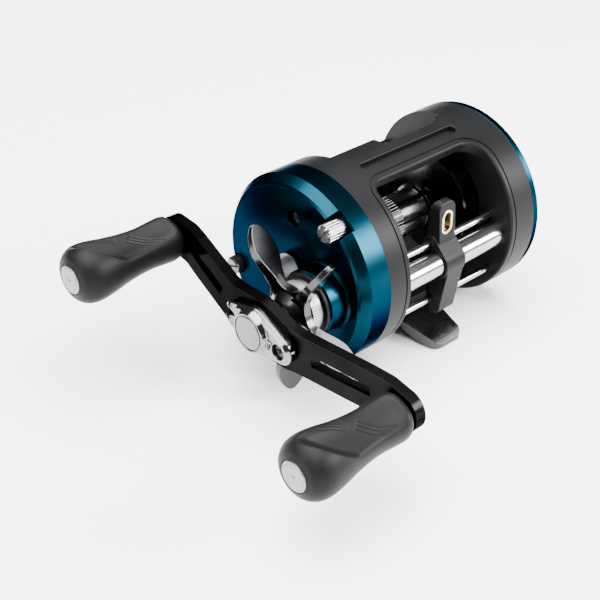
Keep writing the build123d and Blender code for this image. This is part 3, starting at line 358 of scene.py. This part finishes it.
def softened(node, width, crease):
    """Copy of a CAD node with rounded edges, width in millimetres; crease (degrees) marks an edge."""
    bm = bmesh.new()
    bm.from_mesh(NODES[node].data)
    bmesh.ops.remove_doubles(bm, verts=bm.verts, dist=WELD)
    bmesh.ops.dissolve_limit(bm, angle_limit=math.radians(FLAT_ANGLE), verts=bm.verts, edges=bm.edges)
    obj = new_object(node + "_finished", bm)
    shade(obj, crease)
    bevel = obj.modifiers.new("bevel", "BEVEL")
    bevel.width = width * MM
    bevel.segments = 3
    bevel.limit_method = "ANGLE"
    bevel.angle_limit = math.radians(BEVEL_ANGLE)
    bevel.use_clamp_overlap = True
    bevel.harden_normals = False
    bevel.miter_outer = "MITER_ARC"
    apply_modifiers(obj)
    settle_normals(obj)
    stand_in(obj, node)


def cast(node, voxel, passes):
    """Copy of a CAD node with all its edges rounded, as on a polished casting."""
    bm = bmesh.new()
    bm.from_mesh(NODES[node].data)
    bmesh.ops.remove_doubles(bm, verts=bm.verts, dist=WELD)
    obj = new_object(node + "_cast", bm)
    remesh = obj.modifiers.new("remesh", "REMESH")
    remesh.mode = "VOXEL"
    remesh.voxel_size = voxel * MM
    smooth = obj.modifiers.new("smooth", "SMOOTH")
    smooth.factor = 0.5
    smooth.iterations = passes
    thin_out = obj.modifiers.new("thin_out", "DECIMATE")
    thin_out.ratio = 0.35
    apply_modifiers(obj)
    shade(obj, 180.0)
    stand_in(obj, node)


for node, obj in NODES.items():
    paint(obj, SLOT_OF[node], node)

for node, width, crease in (("handle_arm", 0.45, 26), ("reel_foot", 0.5, 26), ("frame", 0.25, 26),
                            ("handle_side_plate", 0.2, 10), ("far_side_cover", 0.3, 10),
                            ("line_guide_insert", 0.1, 26), ("thumb_bar", 0.3, 26), ("spool", 0.2, 20),
                            ("star_click_ring", 0.12, 20), ("thumb_screw_front", 0.12, 20)):
    softened(node, width, crease)
for node, voxel, passes in (("star_wheel", 0.12, 3), ("handle_nut_cover", 0.085, 6),
                            ("line_guide_carriage", 0.14, 6)):
    cast(node, voxel, passes)


# ---------------------------------------------------------------- knobs
def smooth_curve(stations):
    """Catmull-Rom curve through (place, value) stations."""
    def value(t):
        if t <= stations[0][0]:
            return stations[0][1]
        if t >= stations[-1][0]:
            return stations[-1][1]
        i = max(k for k in range(len(stations) - 1) if stations[k][0] <= t)
        (t1, p1), (t2, p2) = stations[i], stations[i + 1]
        t0, p0 = stations[i - 1] if i > 0 else (t1 - (t2 - t1), p1)
        t3, p3 = stations[i + 2] if i + 2 < len(stations) else (t2 + (t2 - t1), p2)
        m1 = (p2 - p0) / (t2 - t0) * (t2 - t1)
        m2 = (p3 - p1) / (t3 - t1) * (t2 - t1)
        k = (t - t1) / (t2 - t1)
        return ((2 * k ** 3 - 3 * k ** 2 + 1) * p1 + (k ** 3 - 2 * k ** 2 + k) * m1
                + (-2 * k ** 3 + 3 * k ** 2) * p2 + (k ** 3 - k ** 2) * m2)
    return value


def smooth_min(a, b, width):
    h = max(width - abs(a - b), 0.0) / width
    return min(a, b) - h * h * width * 0.25


def segment_distance(p, a, b):
    ax, ay = b[0] - a[0], b[1] - a[1]
    t = ((p[0] - a[0]) * ax + (p[1] - a[1]) * ay) / (ax * ax + ay * ay)
    t = min(1.0, max(0.0, t))
    return math.hypot(p[0] - a[0] - t * ax, p[1] - a[1] - t * ay)


KNOB_LENGTH = 37.6
KNOB_RADIUS = smooth_curve([(0.0, 5.9), (0.5, 6.5), (1.3, 7.0), (3.0, 7.25), (6.0, 7.1), (11.0, 6.85),
                            (16.0, 7.1), (21.0, 7.75), (26.0, 8.7), (30.5, 9.25), (33.5, 9.0),
                            (35.6, 8.0), (36.9, 6.7), (KNOB_LENGTH, 5.2)])
THUMB_FACE = smooth_curve([(0.0, 6.4), (1.6, 6.6), (4.0, 5.3), (9.0, 4.6), (16.0, 4.4), (24.0, 4.7),
                           (37.0, 5.0)])
RIVET_HEAD = 0.4     # how far the spindle's end stands proud of the arm
ARM_THICK = 3.6
ARM_GAP = 1.0        # between the arm and the grip
KNOB_BORE = 2.06
GROOVES = [((15.1, -3.3), (10.2, 1.6), (6.1, 4.0)), ((16.0, -2.5), (11.6, 2.0), (8.2, 4.1)),
           ((16.9, -1.8), (13.2, 2.4), (10.2, 4.2)), ((19.3, -5.2), (22.0, -6.3), (25.0, -7.0)),
           ((19.4, -4.3), (22.6, -5.9), (26.2, -7.1)), ((19.8, -3.5), (23.0, -5.2), (26.8, -6.5)),
           ((20.1, -2.7), (23.2, -4.4), (26.7, -5.7))]


def groove_depth(s, u):
    """Depth of the fine engraved lines and of the dots at their ends, in millimetres."""
    if s < 5 or s > 28 or abs(u) > 8:
        return 0.0
    nearest = 9.0
    for line in GROOVES:
        for a, b in zip(line, line[1:]):
            nearest = min(nearest, segment_distance((s, u), a, b))
    depth = 0.16 * math.exp(-(nearest / 0.26) ** 2)
    for line in GROOVES[:3]:
        dot = math.hypot(s - line[0][0], u - line[0][1])
        depth -= 0.22 * math.exp(-(dot / 0.33) ** 2)
    return depth


def knob_point(s, theta):
    """Section of the grip at s from the arm: round behind, with a dished thumb face in front."""
    radius = KNOB_RADIUS(s)
    u = radius * math.cos(theta)
    v = radius * math.sin(theta)
    if v > 0:
        dish_end = 27.6 - 0.96 * (u - 0.3)
        rise = max(0.0, s - dish_end + 2.0)
        face = THUMB_FACE(s) + 0.16 * rise * rise + 0.035 * u * u
        v = smooth_min(v, face, 2.2)
        v -= groove_depth(s, u) * min(1.0, max(0.0, math.sin(theta) * 2.5))
    return u, v


def lofted(name, rings):
    """Skin over rings of points, all of the same count."""
    bm = bmesh.new()
    rows = [[bm.verts.new(p) for p in ring] for ring in rings]
    count = len(rings[0])
    for a, b in zip(rows, rows[1:]):
        for i in range(count):
            j = (i + 1) % count
            bm.faces.new((a[i], a[j], b[j], b[i]))
    bm.faces.new(list(reversed(rows[0])))
    bm.faces.new(rows[-1])
    bmesh.ops.recalc_face_normals(bm, faces=bm.faces)
    return new_object(name, bm)


def build_knob(node, sign, face_angle):
    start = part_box("knob_spindle_front")[1].x / MM - RIVET_HEAD - ARM_THICK - ARM_GAP
    centre_y, centre_z = knob_axis(sign)
    face = math.radians(face_angle)
    normal = (math.cos(face), math.sin(face))
    wide = (math.cos(face + math.pi / 2), math.sin(face + math.pi / 2))
    turn = 200
    angles = [2 * math.pi * i / turn for i in range(turn)]

    def ring(s, point):
        out = []
        for theta in angles:
            u, v = point(theta)
            out.append(((start - s) * MM, (centre_y + u * wide[0] + v * normal[0]) * MM,
                        (centre_z + u * wide[1] + v * normal[1]) * MM))
        return out

    def circle(s, radius):
        return ring(s, lambda theta: (radius * math.cos(theta), radius * math.sin(theta)))

    stations = [0.0, 0.15, 0.35, 0.6, 0.9, 1.3]
    stations += [1.3 + (35.6 - 1.3) * i / 165 for i in range(1, 166)]
    stations += [35.9, 36.2, 36.5, 36.8, 37.05, 37.25, 37.42, 37.54, KNOB_LENGTH]
    rings = [circle(33.6, KNOB_BORE), circle(0.0, KNOB_BORE)]
    rings += [ring(s, lambda theta, s=s: knob_point(s, theta)) for s in stations]
    rings += [circle(KNOB_LENGTH + 0.02, 4.75), circle(KNOB_LENGTH - 0.12, 4.62),
              circle(KNOB_LENGTH - 1.2, 4.6)]
    obj = lofted(node + "_grip", rings)
    shade(obj, 40.0)
    stand_in(obj, node)


build_knob("knob_front", 1, 117.0)
build_knob("knob_rear", -1, 104.0)


def build_knob_cap(node, sign):
    """Spun steel cap: chamfered rim, fine turned rings and a drilled centre point."""
    low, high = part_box(node)
    centre_y, centre_z = knob_axis(sign)
    outer, face, back = (high.y - low.y) / 2 / MM, low.x / MM, high.x / MM
    rim, centre, count = outer - 0.2, 0.62, 60
    ring_depth, step_depth, step_rings = 0.012, 0.05, (6, 7)
    profile = [(back, 0.2), (back, outer - 0.1), (back - 0.1, outer), (face + 0.18, outer), (face, rim)]
    for i in range(1, count):
        depth = ring_depth * (i % 2) + (step_depth if i in step_rings else 0.0)
        profile.append((face + depth, rim + (centre - rim) * i / count))
    profile += [(face, 0.6), (face + 0.1, 0.52), (face + 0.45, 0.12)]
    turn = 160
    angles = [2 * math.pi * i / turn for i in range(turn)]
    rings = [[(x * MM, (centre_y + r * math.cos(a)) * MM, (centre_z + r * math.sin(a)) * MM) for a in angles]
             for x, r in profile]
    obj = lofted(node + "_spun", rings)
    shade(obj, 25.0)
    stand_in(obj, node)


build_knob_cap("knob_cap_front", 1)
build_knob_cap("knob_cap_rear", -1)


# ---------------------------------------------------------------- cast control cap
def build_cast_cap():
    """Cap with a diamond knurl on its side and its domed end, hollow at the back for its neck."""
    low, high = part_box("cast_control_cap")
    tip, seat = low.x / MM, high.x / MM
    radius = 4.65
    turn, rows, teeth = 288, 64, 36
    start, end = tip + 0.75, seat - 0.55

    def ring(x, r):
        return [(x * MM, (SPOOL[0] + r * math.cos(a)) * MM, (SPOOL[1] + r * math.sin(a)) * MM)
                for a in angles]

    def knurl(x, a):
        """Pyramids: two families of ridges that cross."""
        pitch = 2 * math.pi * radius / teeth
        along = (x - start) / pitch
        round_it = a * teeth / (2 * math.pi)
        ridge = min(abs((round_it + along) % 1.0 - 0.5), abs((round_it - along) % 1.0 - 0.5))
        edge = min(1.0, (x - start) / 0.25) if x < end else 1.0
        return radius - 0.24 * (1.0 - min(1.0, ridge / 0.28)) * max(0.0, edge)

    angles = [2 * math.pi * i / turn for i in range(turn)]
    rings = [ring(tip + 1.5, 0.3), ring(tip + 1.5, 2.4), ring(tip + 2.3, 2.4), ring(tip + 2.3, 3.7),
             ring(seat, 3.7), ring(seat, 4.3), ring(seat - 0.1, 4.5), ring(seat - 0.25, radius),
             ring(end, radius)]
    for i in range(1, rows):
        x = end + (start - end) * i / rows
        rings.append([(x * MM, (SPOOL[0] + knurl(x, a) * math.cos(a)) * MM,
                       (SPOOL[1] + knurl(x, a) * math.sin(a)) * MM) for a in angles])
    rings += [ring(start, radius), ring(tip + 0.6, 4.6), ring(tip + 0.5, 4.45)]
    dome_r, dome_flat, dome_height, dome_rows = 4.4, 1.3, 0.42, 40
    for i in range(1, dome_rows):
        r = dome_r * (dome_flat / dome_r) ** (i / dome_rows)
        dome = tip + dome_height * (r / dome_r) ** 2
        rings.append([((dome + radius - knurl(start + 1.0 + math.log(dome_r / r) * radius, a)) * MM,
                       (SPOOL[0] + r * math.cos(a)) * MM, (SPOOL[1] + r * math.sin(a)) * MM) for a in angles])
    rings += [ring(tip + 0.02, 1.25), ring(tip, 1.1), ring(tip, 0.3)]
    obj = lofted("cast_control_cap_knurled", rings)
    shade(obj, 28.0)
    stand_in(obj, "cast_control_cap")


build_cast_cap()

# ---------------------------------------------------------------- camera, light, floor
camera_data = bpy.data.cameras.new("camera")
camera_data.lens = 76.03
camera_data.sensor_width = 36.0
camera = bpy.data.objects.new("camera", camera_data)
bpy.context.scene.collection.objects.link(camera)
right = Vector((0.7360, -0.6770, 0.0))
up = Vector((0.3678, 0.3999, 0.8396))
back = Vector((-0.5684, -0.6179, 0.5433))
rotation = Matrix((right, up, back)).transposed().to_4x4()
camera.matrix_world = Matrix.Translation((-0.2632, -0.2428, 0.2342)) @ rotation
bpy.context.scene.camera = camera


def softbox(name, place, target, size, power):
    data = bpy.data.lights.new(name, "AREA")
    data.shape = "RECTANGLE"
    data.size, data.size_y = size
    data.energy = power
    lamp = bpy.data.objects.new(name, data)
    bpy.context.scene.collection.objects.link(lamp)
    lamp.location = place
    aim = Vector(target) - Vector(place)
    lamp.rotation_euler = aim.to_track_quat("-Z", "Y").to_euler()


softbox("top", (-0.1, 0.0, 1.1), (0, 0, 0.0), (1.4, 1.4), 110.0)
softbox("front", (0.62, -0.74, 0.5), (0, 0, 0.03), (0.5, 0.4), 34.0)
softbox("left", (-0.95, 0.1, 0.35), (-0.03, 0, 0.03), (0.3, 0.7), 9.0)
world = bpy.data.worlds.new("world")
bpy.context.scene.world = world
world.use_nodes = True
sky = world.node_tree.nodes["Background"]
sky.inputs["Color"].default_value = (0.9, 0.93, 1.0, 1.0)
sky.inputs["Strength"].default_value = 0.12

floor_mesh = bpy.data.meshes.new("floor")
floor_mesh.from_pydata([(-6, -6, 0), (6, -6, 0), (6, 6, 0), (-6, 6, 0)], [], [(0, 1, 2, 3)])
floor = bpy.data.objects.new("floor", floor_mesh)
floor.location.z = -0.0006
bpy.context.scene.collection.objects.link(floor)
paper = Nodes("floor_paper")
set_shader(paper.shader, Roughness=0.9, Specular_IOR_Level=0.1)
paper_tone = paper.ramp(paper.noise(400.0), [(0.3, (0.86, 0.86, 0.86)), (0.7, (0.9, 0.9, 0.9))])
paper.link(paper_tone, paper.shader.inputs["Base Color"])
floor.data.materials.append(paper.mat)
